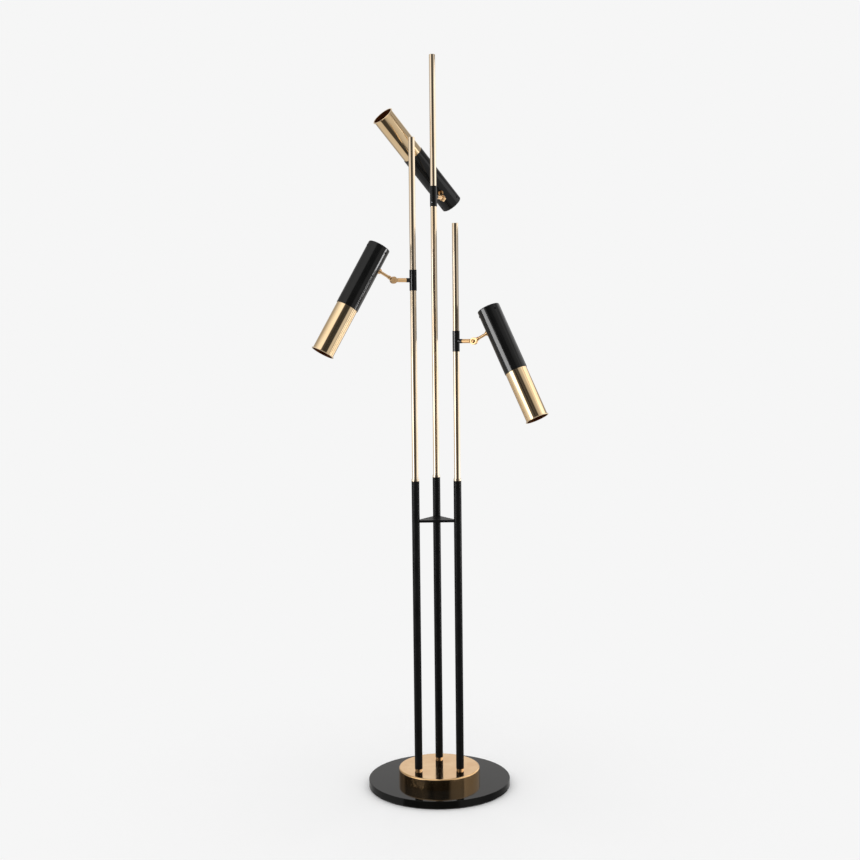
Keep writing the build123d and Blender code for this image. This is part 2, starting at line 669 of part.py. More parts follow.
for head in HEADS:
    frames = head_frames(head)
    save(f"{head.name}_sleeve", frames["sleeve"] * make_sleeve())
    save(f"{head.name}_grub_screws", frames["sleeve"] * grub_places(GRUB_DIAMETER / 2))
    save(f"{head.name}_arm", frames["arm"] * make_arm())
    save(f"{head.name}_pivot_screw", frames["arm"] * Pos(ARM_REACH, 0, 0) * make_pivot_screw())
    save(f"{head.name}_stem", frames["stem"] * make_stem())
    save(f"{head.name}_stem_nut", frames["stem"] * make_stem_nut())
    save(f"{head.name}_saddles", frames["head"] * make_saddles())
    save(f"{head.name}_housing", frames["head"] * make_housing(head))
    save(f"{head.name}_rear_cap", frames["head"] * make_rear_cap(head))
    save(f"{head.name}_cap_screws", frames["head"] * make_cap_screws(head))
    save(f"{head.name}_shade", frames["head"] * make_shade())
    save(f"{head.name}_lamp_holder", frames["head"] * make_holder())
    save(f"{head.name}_lamp", frames["head"] * make_lamp())
    for label, place in (("swivel", "sleeve"), ("arm_roll", "arm"), ("tilt", "stem"), ("spin", "head")):
        axis = {"swivel": Vector(0, 0, 1), "arm_roll": frames["arm"].x_dir,
                "tilt": frames["hinge"], "spin": -frames["head"].x_dir}[label]
        spot = frames[place].origin
        print(f"joint {head.name}_{label} at {spot.X:.4f} {spot.Y:.4f} {spot.Z:.4f} "
              f"axis {axis.X:.6f} {axis.Y:.6f} {axis.Z:.6f}")
    along = frames["head"].z_dir
    for label, station in (("rear", rear), ("lamp_front", lamp_front), ("mouth", mouth)):
        spot = frames["head"].origin + along * station
        print(f"station {head.name}_{label} {spot.X:.3f} {spot.Y:.3f} {spot.Z:.3f}")
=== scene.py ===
"""Looks of the tree floor lamp, laid out as a Blender add-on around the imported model."""

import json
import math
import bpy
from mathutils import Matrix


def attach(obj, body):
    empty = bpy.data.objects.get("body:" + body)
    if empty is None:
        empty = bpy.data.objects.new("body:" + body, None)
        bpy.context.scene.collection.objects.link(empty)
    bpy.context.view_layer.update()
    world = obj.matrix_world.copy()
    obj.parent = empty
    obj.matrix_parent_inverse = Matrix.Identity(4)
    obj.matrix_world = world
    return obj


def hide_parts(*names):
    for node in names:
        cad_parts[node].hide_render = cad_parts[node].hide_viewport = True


bl_info = {
    "name": "Tree Floor Lamp",
    "version": (1, 0, 0),
    "blender": (4, 5, 0),
    "location": "View3D > Sidebar > Floor Lamp",
    "description": "Finishes, small parts and a plain studio for a floor lamp with three spot heads",
    "category": "Add Mesh",
}

import bmesh
import bpy
from bpy.props import FloatProperty, FloatVectorProperty, IntProperty, PointerProperty
from mathutils import Matrix, Vector

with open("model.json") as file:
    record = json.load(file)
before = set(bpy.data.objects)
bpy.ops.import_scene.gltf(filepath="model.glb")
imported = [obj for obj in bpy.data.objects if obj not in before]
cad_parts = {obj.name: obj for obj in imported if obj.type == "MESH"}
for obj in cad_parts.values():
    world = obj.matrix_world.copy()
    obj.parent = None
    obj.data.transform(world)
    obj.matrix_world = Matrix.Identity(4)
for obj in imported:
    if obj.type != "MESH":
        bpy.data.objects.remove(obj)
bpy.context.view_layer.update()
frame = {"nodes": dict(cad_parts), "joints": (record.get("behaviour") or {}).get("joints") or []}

MM = 0.001
HEADS = ("left", "right", "upper")
COLUMNS = ("left", "right", "back")

# The photograph's camera, fitted to the base, the columns and the heads.
CAMERA_PLACE = (0.0, -3.15845, 1.11344)
CAMERA_PITCH = -4.12
CAMERA_YAW = -0.26
CAMERA_ROLL = 0.62
FOCAL_PIXELS = 1295.67
PICTURE_PIXELS = 860
SENSOR_MM = 36.0
CAMERA_SEES_TO = 60.0

# Places and sizes of the small parts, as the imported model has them.
HOUSING_RADIUS = 27.5 * MM
SHADE_BORE_RADIUS = 25.85 * MM
STOP_SCREW_DROP = 15.0 * MM
GRUB_RADIUS = 1.5 * MM
NECK_SCREW_ZONE = 3.5 * MM
KNUCKLE_HEAD_HEIGHT = 2.5 * MM
CAP_SCREW_COUNT = 3
EDGE_ANGLE = 32


# ---------------------------------------------------------------- colours

def linear(code):
    """The linear colour of an sRGB hex code."""
    values = [int(code[start:start + 2], 16) / 255 for start in (1, 3, 5)]
    return tuple(v / 12.92 if v <= 0.04045 else ((v + 0.055) / 1.055) ** 2.4 for v in values)


def with_alpha(colour):
    """A colour with full opacity."""
    return (*colour, 1.0)


# ---------------------------------------------------------------- settings

class FloorLampFinish(bpy.types.PropertyGroup):
    """Colours and polish of the lamp's surfaces."""

    pale_brass: FloatVectorProperty(
        name="Pale brass", description="Colour of the lacquered brass of the shades",
        subtype="COLOR", size=3, min=0, max=1, default=linear("#F3D9B2"))
    pale_brass_deep: FloatVectorProperty(
        name="Pale brass, deeper", description="Colour of the lacquered brass where it is thicker",
        subtype="COLOR", size=3, min=0, max=1, default=linear("#EBCB9C"))
    rod_brass: FloatVectorProperty(
        name="Rod brass", description="Colour of the pale lacquered brass of the rods",
        subtype="COLOR", size=3, min=0, max=1, default=linear("#F6E4CC"))
    rod_brass_deep: FloatVectorProperty(
        name="Rod brass, deeper", description="Colour of the rods where the lacquer is thicker",
        subtype="COLOR", size=3, min=0, max=1, default=linear("#F0D9B8"))
    warm_brass: FloatVectorProperty(
        name="Warm brass", description="Colour of the bare polished brass of the drum",
        subtype="COLOR", size=3, min=0, max=1, default=linear("#F0CA98"))
    warm_brass_deep: FloatVectorProperty(
        name="Warm brass, deeper", description="Colour of the bare brass where it has aged",
        subtype="COLOR", size=3, min=0, max=1, default=linear("#E4B884"))
    # The inside colour is painted shade: a darker brown for the dim bore of each shade.
    inner_shade_colour: FloatVectorProperty(
        name="Shade's inside", description="Colour of the raw brass inside each shade",
        subtype="COLOR", size=3, min=0, max=1, default=linear("#A9693A"))
    enamel: FloatVectorProperty(
        name="Enamel", description="Colour of the gloss black base disc",
        subtype="COLOR", size=3, min=0, max=1, default=linear("#0B0B0A"))
    lacquer: FloatVectorProperty(
        name="Black lacquer", description="Colour of the gloss black housings and sleeves",
        subtype="COLOR", size=3, min=0, max=1, default=linear("#101010"))
    satin: FloatVectorProperty(
        name="Satin black", description="Colour of the black tubes and brace",
        subtype="COLOR", size=3, min=0, max=1, default=linear("#101010"))
    polish: FloatProperty(
        name="Polish", description="Roughness of the polished brass",
        subtype="FACTOR", min=0, max=1, default=0.06)
    lacquer_roughness: FloatProperty(
        name="Lacquer roughness", description="Roughness of the gloss black lacquer",
        subtype="FACTOR", min=0, max=1, default=0.1)
    satin_roughness: FloatProperty(
        name="Satin roughness", description="Roughness of the satin black coat",
        subtype="FACTOR", min=0, max=1, default=0.3)


class FloorLampDetail(bpy.types.PropertyGroup):
    """Sizes of the small parts that are drawn here."""

    lens_rings: IntProperty(
        name="Lens rings", description="Rings of facets on the reflector lamp's lens",
        min=2, max=12, default=6)
    knurl_count: IntProperty(
        name="Knurl teeth", description="Teeth round the head of each knuckle screw",
        min=12, max=72, default=40)
    recess_depth: FloatProperty(
        name="Recess depth", description="Depth of the drive recess in the small screws",
        subtype="DISTANCE", unit="LENGTH", min=0.0002, max=0.002, default=0.0007)


class FloorLampStudio(bpy.types.PropertyGroup):
    """The plain studio round the lamp."""

    backdrop: FloatVectorProperty(
        name="Backdrop", description="Colour of the backdrop",
        subtype="COLOR", size=3, min=0, max=1, default=linear("#F6F6F6"))
    world_light: FloatProperty(
        name="Sky light", description="Strength of the even light from all round",
        min=0, max=4, default=1.0)
    softbox_light: FloatProperty(
        name="Softbox brightness", description="Brightness of the softboxes for the black paint",
        min=0, max=40, default=11.0)
    panel_light: FloatProperty(
        name="Panel brightness", description="Brightness of the panels that every piece reflects",
        min=0, max=20, default=1.0)


# ---------------------------------------------------------------- materials

# The radius that paint and moulding leave on a sharp edge.
EDGE_MM = 0.25


def add_node(tree, kind, settings=None, links=None):
    """Adds one node, sets its fields, and sets or links its inputs by name or number."""
    made = tree.nodes.new(kind)
    for key, value in (settings or {}).items():
        setattr(made, key, value)
    for key, value in (links or {}).items():
        if isinstance(value, bpy.types.NodeSocket):
            tree.links.new(value, made.inputs[key])
        else:
            made.inputs[key].default_value = value
    return made


def new_material(name):
    """An empty node material with its surface shader and output."""
    material = bpy.data.materials.new(name)
    material.use_nodes = True
    tree = material.node_tree
    tree.nodes.clear()
    output = add_node(tree, "ShaderNodeOutputMaterial")
    shader = add_node(tree, "ShaderNodeBsdfPrincipled")
    tree.links.new(shader.outputs["BSDF"], output.inputs["Surface"])
    return material, tree, shader


def local_position(tree, origin=(0.0, 0.0, 0.0), rotation=(0.0, 0.0, 0.0)):
    """The surface's position in a piece's own frame, in metres, from object coordinates."""
    coordinates = add_node(tree, "ShaderNodeTexCoord")
    shift = add_node(tree, "ShaderNodeVectorMath", {"operation": "SUBTRACT"},
                     {0: coordinates.outputs["Object"], 1: origin})
    turn = add_node(tree, "ShaderNodeVectorRotate",
                    {"rotation_type": "EULER_XYZ", "invert": True},
                    {"Vector": shift.outputs[0], "Rotation": rotation})
    return turn.outputs[0]


def stretched_noise(tree, position, sizes_mm, detail=2.0):
    """Noise whose grains have the given sizes in millimetres along the piece's own axes."""
    scale = add_node(tree, "ShaderNodeVectorMath", {"operation": "MULTIPLY"},
                     {0: position, 1: tuple(1 / (size * MM) for size in sizes_mm)})
    noise = add_node(tree, "ShaderNodeTexNoise", None,
                     {"Vector": scale.outputs[0], "Scale": 1.0, "Detail": detail})
    return noise.outputs["Fac"]


def ranged(tree, value, low, high):
    """Turns noise from 0.3 to 0.7 into a range of numbers."""
    made = add_node(tree, "ShaderNodeMapRange", None,
                    {"Value": value, "From Min": 0.3, "From Max": 0.7, "To Min": low, "To Max": high})
    return made.outputs["Result"]


def mixed(tree, factor, first, second):
    """A colour between two colours."""
    made = add_node(tree, "ShaderNodeMix", {"data_type": "RGBA"}, {
        "Factor": factor, 6: first, 7: second})
    return made.outputs[2]


def bumped(tree, height, depth_mm, edge_mm=None):
    """A bump of real depth, over edges that may be softened by a small radius."""
    bump = add_node(tree, "ShaderNodeBump", None, {
        "Strength": 1.0, "Distance": depth_mm * MM, "Height": height})
    if edge_mm:
        edge = add_node(tree, "ShaderNodeBevel", {"samples": 4}, {"Radius": edge_mm * MM})
        tree.links.new(edge.outputs["Normal"], bump.inputs["Normal"])
    return bump.outputs["Normal"]


def pale(finish):
    """The two colours of the lacquered brass."""
    return finish.pale_brass, finish.pale_brass_deep


def palest(finish):
    """The two colours of the rods' brass."""
    return finish.rod_brass, finish.rod_brass_deep


def warm(finish):
    """The two colours of the bare brass."""
    return finish.warm_brass, finish.warm_brass_deep


def polished_brass(name, colours, polish, lines_mm, place=Matrix(), inside=None):
    """Brass that was drawn, spun or turned and then buffed.

    It gives sharp warm reflections, a little deeper in colour and softer where the buff lingered,
    with faint polishing lines that run the way the metal was worked.
    """
    material, tree, shader = new_material(name)
    position = local_position(tree, tuple(place.translation), tuple(place.to_euler()))
    clouds = stretched_noise(tree, position, (45.0, 45.0, 90.0))
    smears = stretched_noise(tree, position, (9.0, 9.0, 30.0), 4.0)
    lines = stretched_noise(tree, position, lines_mm, 3.0)
    colour = mixed(tree, ranged(tree, clouds, 0.0, 1.0), *map(with_alpha, colours))
    roughness = ranged(tree, smears, polish * 0.75, polish * 1.35)
    if inside is not None:
        colour, roughness = paint_inner_shade(tree, position, inside, colour, roughness)
    tree.links.new(colour, shader.inputs["Base Color"])
    tree.links.new(roughness, shader.inputs["Roughness"])
    tree.links.new(bumped(tree, lines, 0.0003), shader.inputs["Normal"])
    shader.inputs["Metallic"].default_value = 1.0
    return material


def paint_inner_shade(tree, position, inside, colour, roughness):
    """Inside the given radius the brass is rougher and painted the given darker brown, in random
    blotches: painted shade of the dim bore.
    """
    radius, shade_colour = inside
    flat = add_node(tree, "ShaderNodeVectorMath", {"operation": "MULTIPLY"},
                    {0: position, 1: (1.0, 1.0, 0.0)})
    reach = add_node(tree, "ShaderNodeVectorMath", {"operation": "LENGTH"}, {0: flat.outputs[0]})
    inner = add_node(tree, "ShaderNodeMath", {"operation": "LESS_THAN"},
                     {0: reach.outputs["Value"], 1: radius})
    blotches = stretched_noise(tree, position, (6.0, 6.0, 14.0), 4.0)
    # Painted shade: the bore's brown turns darker still in random blotches.
    shaded_brown = mixed(tree, ranged(tree, blotches, 0.0, 0.5),
                  with_alpha(shade_colour), with_alpha(linear("#6B3B22")))
    dull = add_node(tree, "ShaderNodeMix", None,
                    {"Factor": inner.outputs[0], 2: roughness, 3: 0.38})
    return mixed(tree, inner.outputs[0], colour, shaded_brown), dull.outputs[0]


def black_coat(name, colour, roughness, peel_mm, depth_mm, specular):
    """Black paint on metal: a level film whose faint orange peel breaks up its reflections."""
    material, tree, shader = new_material(name)
    position = local_position(tree)
    peel = stretched_noise(tree, position, (peel_mm,) * 3)
    haze = stretched_noise(tree, position, (30.0,) * 3, 4.0)
    dust = stretched_noise(tree, position, (1.2,) * 3, 6.0)
    shade = mixed(tree, ranged(tree, haze, 0.0, 0.5),
                  with_alpha(colour), with_alpha(tuple(1.6 * part + 0.001 for part in colour)))
    fine = add_node(tree, "ShaderNodeMath", {"operation": "MULTIPLY_ADD"},
                    {0: ranged(tree, dust, -0.5, 0.5), 1: 0.12 * roughness,
                     2: ranged(tree, haze, roughness * 0.85, roughness * 1.2)})
    tree.links.new(shade, shader.inputs["Base Color"])
    tree.links.new(fine.outputs[0], shader.inputs["Roughness"])
    tree.links.new(bumped(tree, peel, depth_mm, EDGE_MM), shader.inputs["Normal"])
    shader.inputs["Specular IOR Level"].default_value = specular
    return material


def plain_mould(name, code, deeper, roughness, grain_mm, depth_mm, metallic=0.0):
    """A moulded, fired or plated surface with a fine even grain and slight colour change."""
    material, tree, shader = new_material(name)
    position = local_position(tree)
    grain = stretched_noise(tree, position, (grain_mm,) * 3, 4.0)
    patch = stretched_noise(tree, position, (grain_mm * 14,) * 3)
    tree.links.new(mixed(tree, ranged(tree, patch, 0.0, 1.0), with_alpha(linear(code)),
                         with_alpha(linear(deeper))), shader.inputs["Base Color"])
    tree.links.new(ranged(tree, grain, roughness * 0.85, roughness * 1.15),
                   shader.inputs["Roughness"])
    tree.links.new(bumped(tree, grain, depth_mm, EDGE_MM), shader.inputs["Normal"])
    shader.inputs["Metallic"].default_value = metallic
    return material


def pressed_glass(name):
    """Clear pressed glass of the lamp's lens: smooth, with a faint ripple from the mould."""
    material, tree, shader = new_material(name)
    position = local_position(tree)
    ripple = stretched_noise(tree, position, (2.5,) * 3)
    tree.links.new(bumped(tree, ripple, 0.01, 0.1), shader.inputs["Normal"])
    tree.links.new(ranged(tree, ripple, 0.02, 0.06), shader.inputs["Roughness"])
    tree.links.new(mixed(tree, ripple, with_alpha(linear("#F4F6F2")),
                         with_alpha(linear("#E6ECE4"))), shader.inputs["Base Color"])
    shader.inputs["IOR"].default_value = 1.5
    shader.inputs["Transmission Weight"].default_value = 1.0
    return material


def dress(node, material):
    """Gives a carried-over CAD node its finish."""
    piece = frame["nodes"][node]
    piece.data.materials.clear()
    piece.data.materials.append(material)


# ---------------------------------------------------------------- places

def surface_centre(piece):
    """The area-weighted centre of a piece's surface."""
    total = 0.0
    centre = Vector()
    for face in piece.data.polygons:
        total += face.area
        centre += face.area * face.center
    return piece.matrix_world @ (centre / total)


def joint(name):
    """A joint's place and axis."""
    found = next(entry for entry in frame["joints"] if entry["name"] == name)
    return Vector(found["pos_m"]), Vector(found["axis"]).normalized()


def placed(origin, x_axis, z_axis):
    """A matrix with the given origin and directions."""
    z_axis = z_axis.normalized()
    y_axis = z_axis.cross(x_axis).normalized()
    x_axis = y_axis.cross(z_axis)
    turned = Matrix((x_axis, y_axis, z_axis)).transposed().to_4x4()
    return Matrix.Translation(origin) @ turned


def head_place(head):
    """A head's own frame: mouth towards +Z, stem on the +X side."""
    origin, stem = joint(f"{head}_spin")
    mouth = surface_centre(frame["nodes"][f"{head}_shade"]) - origin
    mouth -= stem * mouth.dot(stem)
    return placed(origin, -stem, mouth)


def points_in(node, place):
    """A node's points in a frame."""
    back = place.inverted()
    return [back @ vertex.co for vertex in frame["nodes"][node].data.vertices]


def from_axis(point):
    """A point's distance from a frame's Z axis."""
    return math.hypot(point.x, point.y)


def span(node, place):
    """The lowest and highest place of a node's points in a frame, along each of its axes."""
    points = points_in(node, place)
    lowest = [min(point[axis] for point in points) for axis in range(3)]
    highest = [max(point[axis] for point in points) for axis in range(3)]
    return lowest, highest


# ---------------------------------------------------------------- meshes

def add_piece(name, mesh_maker, place, body, material, node=None):
    """Makes one object from a bmesh and hangs it on a body, in place of a node if one is named."""
    mesh = bpy.data.meshes.new(name)
    shape = bmesh.new()
    mesh_maker(shape)
    bmesh.ops.recalc_face_normals(shape, faces=shape.faces)
    shape.to_mesh(mesh)
    shape.free()
    for face in mesh.polygons:
        face.use_smooth = True
    mesh.set_sharp_from_angle(angle=math.radians(EDGE_ANGLE))
    piece = bpy.data.objects.new(name, mesh)
    bpy.context.scene.collection.objects.link(piece)
    piece.matrix_world = place
    mesh.materials.append(material)
    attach(piece, body)
    if node:
        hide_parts(node)


def add_ring(shape, radius, steps, height_at, place=Matrix(), inset_at=None):
    """A ring of points round Z, whose heights and insets may change from point to point."""
    ring = []
    for index in range(steps):
        angle = 2 * math.pi * index / steps
        reach = radius - (inset_at(index) if inset_at else 0.0)
        x, y = reach * math.cos(angle), reach * math.sin(angle)
        ring.append(shape.verts.new(place @ Vector((x, y, height_at(x, y)))))
    return ring


def stitch(shape, inner, outer):
    """Faces between two rings, of which the inner one may be a single point."""
    for index, corner in enumerate(outer):
        after = (index + 1) % len(outer)
        if len(inner) == 1:
            shape.faces.new((inner[0], corner, outer[after]))
        else:
            shape.faces.new((inner[index], corner, outer[after], inner[after]))


def turn_profile(shape, profile, steps, place=Matrix()):
    """Turns a profile of (radius, height) points round Z. A radius of 0 closes an end."""
    rings = []
    for radius, height in profile:
        count = steps if radius > 0 else 1
        rings.append(add_ring(shape, radius, count, lambda x, y: height, place))
    for low, high in zip(rings, rings[1:]):
        for index in range(steps):
            after = (index + 1) % steps
            corners = [low[index % len(low)], low[after % len(low)],
                       high[after % len(high)], high[index % len(high)]]
            unique = list(dict.fromkeys(corners))
            if len(unique) > 2:
                shape.faces.new(unique)


def recessed_top(shape, radius, top, depth, inside, rings, steps, place=Matrix(), dome=0.0):
    """A screw's face at the given height, pushed in where the drive recess is."""
    def height_at(x, y):
        swell = dome * (1 - (x * x + y * y) / radius ** 2)
        return top + swell - (depth if inside(x, y) else 0.0)

    ring = [shape.verts.new(place @ Vector((0, 0, height_at(0, 0))))]
    for count in range(1, rings + 1):
        outer = add_ring(shape, radius * count / rings, steps, height_at, place)
        stitch(shape, ring, outer)
        ring = outer
    return ring


def skirt(shape, ring, profile, place=Matrix()):
    """Carries a ring down a profile of (radius, height) points and closes its end."""
    for radius, height in profile:
        lower = add_ring(shape, radius, len(ring), lambda x, y: height, place)
        stitch(shape, ring, lower)
        ring = lower
    shape.faces.new(ring)


def in_cross(width, length):
    """Whether a point lies in a cross recess."""
    return lambda x, y: (abs(x) < width / 2 and abs(y) < length / 2) or (
        abs(y) < width / 2 and abs(x) < length / 2)


def in_hexagon(across):
    """Whether a point lies in a hexagon socket."""
    def inside(x, y):
        return all(abs(x * math.cos(turn) + y * math.sin(turn)) < across / 2
                   for turn in (0, math.pi / 3, 2 * math.pi / 3))
    return inside


# ---------------------------------------------------------------- lamp and screws

LAMP_LENGTH = 54.0 * MM
LAMP_RADIUS = 25.0 * MM
LAMP_NECK_RADIUS = 12.0 * MM
LAMP_NECK = 16.0 * MM
LAMP_RIM = 6.0 * MM
PIN_SPACING = 10.0 * MM


def lamp_body(shape, back, front):
    """The lamp's neck with its cooling ribs, and the bowl up to the rim."""
    profile = [(0, back), (LAMP_NECK_RADIUS * 0.82, back), (LAMP_NECK_RADIUS * 0.9, back + 0.6 * MM)]
    for rib in range(5):
        low = back + (1.5 + rib * 2.8) * MM
        profile += [(LAMP_NECK_RADIUS * 0.9, low), (LAMP_NECK_RADIUS, low + 0.4 * MM),
                    (LAMP_NECK_RADIUS, low + 1.5 * MM), (LAMP_NECK_RADIUS * 0.9, low + 1.9 * MM)]
    bowl_low = back + LAMP_NECK
    bowl_high = front - LAMP_RIM
    steps = 14
    for step in range(steps + 1):
        part = step / steps
        reach = LAMP_NECK_RADIUS + (LAMP_RADIUS - LAMP_NECK_RADIUS) * part
        profile.append((reach, bowl_low + (bowl_high - bowl_low) * part ** 1.02))
    profile += [(LAMP_RADIUS, front - 0.8 * MM), (LAMP_RADIUS - 0.8 * MM, front),
                (LAMP_RADIUS - 1.6 * MM, front), (LAMP_RADIUS - 2.0 * MM, front - 2.2 * MM)]
    for step in range(10, -1, -1):
        part = step / 10
        reach = 5.0 * MM + (LAMP_RADIUS - 7.5 * MM) * part
        height = bowl_low + 4.0 * MM + (bowl_high - bowl_low - 3.0 * MM) * part ** 1.6
        profile.append((reach, height))
    profile.append((0, bowl_low + 3.6 * MM))
    turn_profile(shape, profile, 96)


def lamp_lens(shape, front, rings):
    """The lens: rings of pressed facets, thinner at each dimple, with a flat back."""
    reach = LAMP_RADIUS - 2.0 * MM
    top = front - 0.9 * MM
    fine_rings = rings * 6
    steps = 120

    def height_at(x, y):
        cell = math.hypot(x, y) / reach * rings
        band = math.floor(cell)
        count = max(1, band) * 6
        around = math.sin(math.atan2(y, x) * count / 2 + band) ** 2
        across = math.sin(math.pi * (cell - band)) ** 2
        return top + 0.35 * MM * across * around

    ring = [shape.verts.new((0, 0, top))]
    for count in range(1, fine_rings + 1):
        outer = add_ring(shape, reach * count / fine_rings, steps, height_at)
        stitch(shape, ring, outer)
        ring = outer
    skirt(shape, ring, [(reach, top - 1.2 * MM)])


def lamp_pins(shape, back, length):
    """The two stepped pins of the lamp's base."""
    for side in (-1, 1):
        place = Matrix.Translation((side * PIN_SPACING / 2, 0, 0))
        turn_profile(shape, [
            (0, back - length), (2.3 * MM, back - length), (2.5 * MM, back - length + 0.3 * MM),
            (2.5 * MM, back - length + 2.2 * MM), (1.6 * MM, back - length + 2.6 * MM),
            (1.6 * MM, back - 0.6 * MM), (2.4 * MM, back), (0, back)], 32, place=place)


def cap_screw(shape, place, detail):
    """A small domed screw with a cross recess and its shank."""
    radius = 2.5 * MM
    top = 0.85 * MM
    rim = recessed_top(shape, radius * 0.94, top, detail.recess_depth,
                       in_cross(0.75 * MM, 2.9 * MM), 14, 56, place, 0.32 * MM)
    skirt(shape, rim, [(radius, top - 0.25 * MM), (radius, -0.11 * MM), (1.5 * MM, -0.11 * MM),
                       (1.5 * MM, -3.7 * MM)], place)


def grub_screw(shape, place, detail):
    """A headless screw with a hexagon socket."""
    rim = recessed_top(shape, GRUB_RADIUS * 0.9, 0.0, detail.recess_depth,
                       in_hexagon(1.5 * MM), 12, 48, place)
    skirt(shape, rim, [(GRUB_RADIUS, -0.2 * MM), (GRUB_RADIUS, -2.8 * MM),
                       (GRUB_RADIUS * 0.8, -3.0 * MM)], place)


def knuckle_screw(shape, detail, head_face, end):
    """The knuckle's screw: a domed, knurled and slotted head on a plain shank."""
    radius = 5.0 * MM
    shank = 2.5 * MM
    slot = 1.2 * MM
    flipped = Matrix.Translation((0, 0, head_face)) @ Matrix.Rotation(math.pi, 4, "X")
    steps = detail.knurl_count * 4
    dome = 0.9 * MM
    rim = recessed_top(shape, radius - 0.5 * MM, -dome, 1.0 * MM,
                       lambda x, y: abs(y) < slot / 2, 16, steps, flipped, dome)
    profile = ((radius - 0.1 * MM, 1.1 * MM), (radius, 1.3 * MM),
               (radius, KNUCKLE_HEAD_HEIGHT - 0.4 * MM),
               (radius - 0.3 * MM, KNUCKLE_HEAD_HEIGHT))
    for reach, depth in profile:
        tooth = 0.16 * MM if reach == radius else 0.0
        lower = add_ring(shape, reach, steps, lambda x, y: -depth, flipped,
                         lambda step: tooth * (step % 4 < 2))
        stitch(shape, rim, lower)
        rim = lower
    skirt(shape, rim, [(shank, -KNUCKLE_HEAD_HEIGHT), (shank, head_face - end + 0.3 * MM),
                       (shank - 0.3 * MM, head_face - end)], flipped)


# ---------------------------------------------------------------- operators

def settings():
    """The three groups of settings of the scene."""
    scene = bpy.context.scene
    return scene.floor_lamp_finish, scene.floor_lamp_detail, scene.floor_lamp_studio


class FLOORLAMP_OT_base(bpy.types.Operator):
    """Finishes the base: disc, drum, pad, cover and the parts inside them"""

    bl_idname = "floor_lamp.base"
    bl_label = "Base"

    def execute(self, context):
        finish, _, _ = settings()
        # Stove-enamelled cast iron: deep and wet-looking, with a trace of orange peel.
        dress("base_disc", black_coat("gloss_enamel", finish.enamel, 0.06, 2.2, 0.0008, 0.12))
        # Turned brass: rings of the lathe are just felt in the polish.
        dress("base_drum", polished_brass("turned_brass", warm(finish), 0.11, (40.0, 40.0, 2.0)))
        # Matt paint on steel sheet: flat black with a dusty look.
        dress("base_cover", black_coat("matt_paint", finish.satin, 0.5, 0.8, 0.01, 0.5))
        # Closed-cell rubber foam: dull, with fine pores.
        dress("base_pad", plain_mould("rubber_foam", "#1B1B1C", "#232325", 0.85, 0.6, 0.06))
        # Moulded rubber: dark and dull, with a soft edge.
        dress("inlet_grommet", plain_mould("moulded_rubber", "#141414", "#1A1A1A", 0.6, 0.5, 0.01))
        # Moulded polyamide: ivory and slightly waxy.
        polyamide = plain_mould("moulded_polyamide", "#D8D4C6", "#CFCABB", 0.45, 0.5, 0.01)
        dress("terminal_block", polyamide)
        # Soft cable sheath: black with a low sheen.
        dress("inner_leads", plain_mould("soft_cable_sheath", "#161616", "#1E1E1E", 0.5, 0.8, 0.01))
        # Zinc-plated steel: pale blue-grey, slightly mottled.
        zinc = plain_mould("zinc_plated_steel", "#B9BCC0", "#A4A8AE", 0.32, 0.7, 0.004, 1.0)
        for node in ("base_screws", "drum_spacers", "foot_studs", "foot_nuts"):
            dress(node, zinc)
        return {"FINISHED"}


class FLOORLAMP_OT_columns(bpy.types.Operator):
    """Finishes the three columns: tubes, rods, brace and their small rings"""

    bl_idname = "floor_lamp.columns"
    bl_label = "Columns"

    def execute(self, context):
        finish, _, _ = settings()
        # Drawn brass tube: its buffing lines run along it.
        drawn = polished_brass("drawn_brass_tube", palest(finish), finish.polish, (2.5, 2.5, 150.0))
        satin = satin_coat(finish)
        for column in COLUMNS:
            dress(f"{column}_rod", drawn)
            dress(f"{column}_tube", satin)
        dress("brace_plate", satin)
        # Turned brass rings: finer lathe marks, and a little softer than the tube.
        rings = polished_brass("turned_brass_rings", palest(finish), 0.1, (8.0, 8.0, 0.8))
        for node in ("foot_ferrules", "tube_collars", "rod_tips"):
            dress(node, rings)
        return {"FINISHED"}


def satin_coat(finish):
    """Satin powder coat, shared by every black tube: soft highlights and a fine grain."""
    found = bpy.data.materials.get("satin_powder_coat")
    return found or black_coat("satin_powder_coat", finish.satin, finish.satin_roughness, 0.9, 0.004,
                               0.06)


def gloss_coat(finish):
    """Gloss black lacquer of the housings and sleeves: sharp stripes of light on deep black."""
    found = bpy.data.materials.get("gloss_black_lacquer")
    return found or black_coat("gloss_black_lacquer", finish.lacquer, finish.lacquer_roughness,
                               2.0, 0.0006, 0.27)


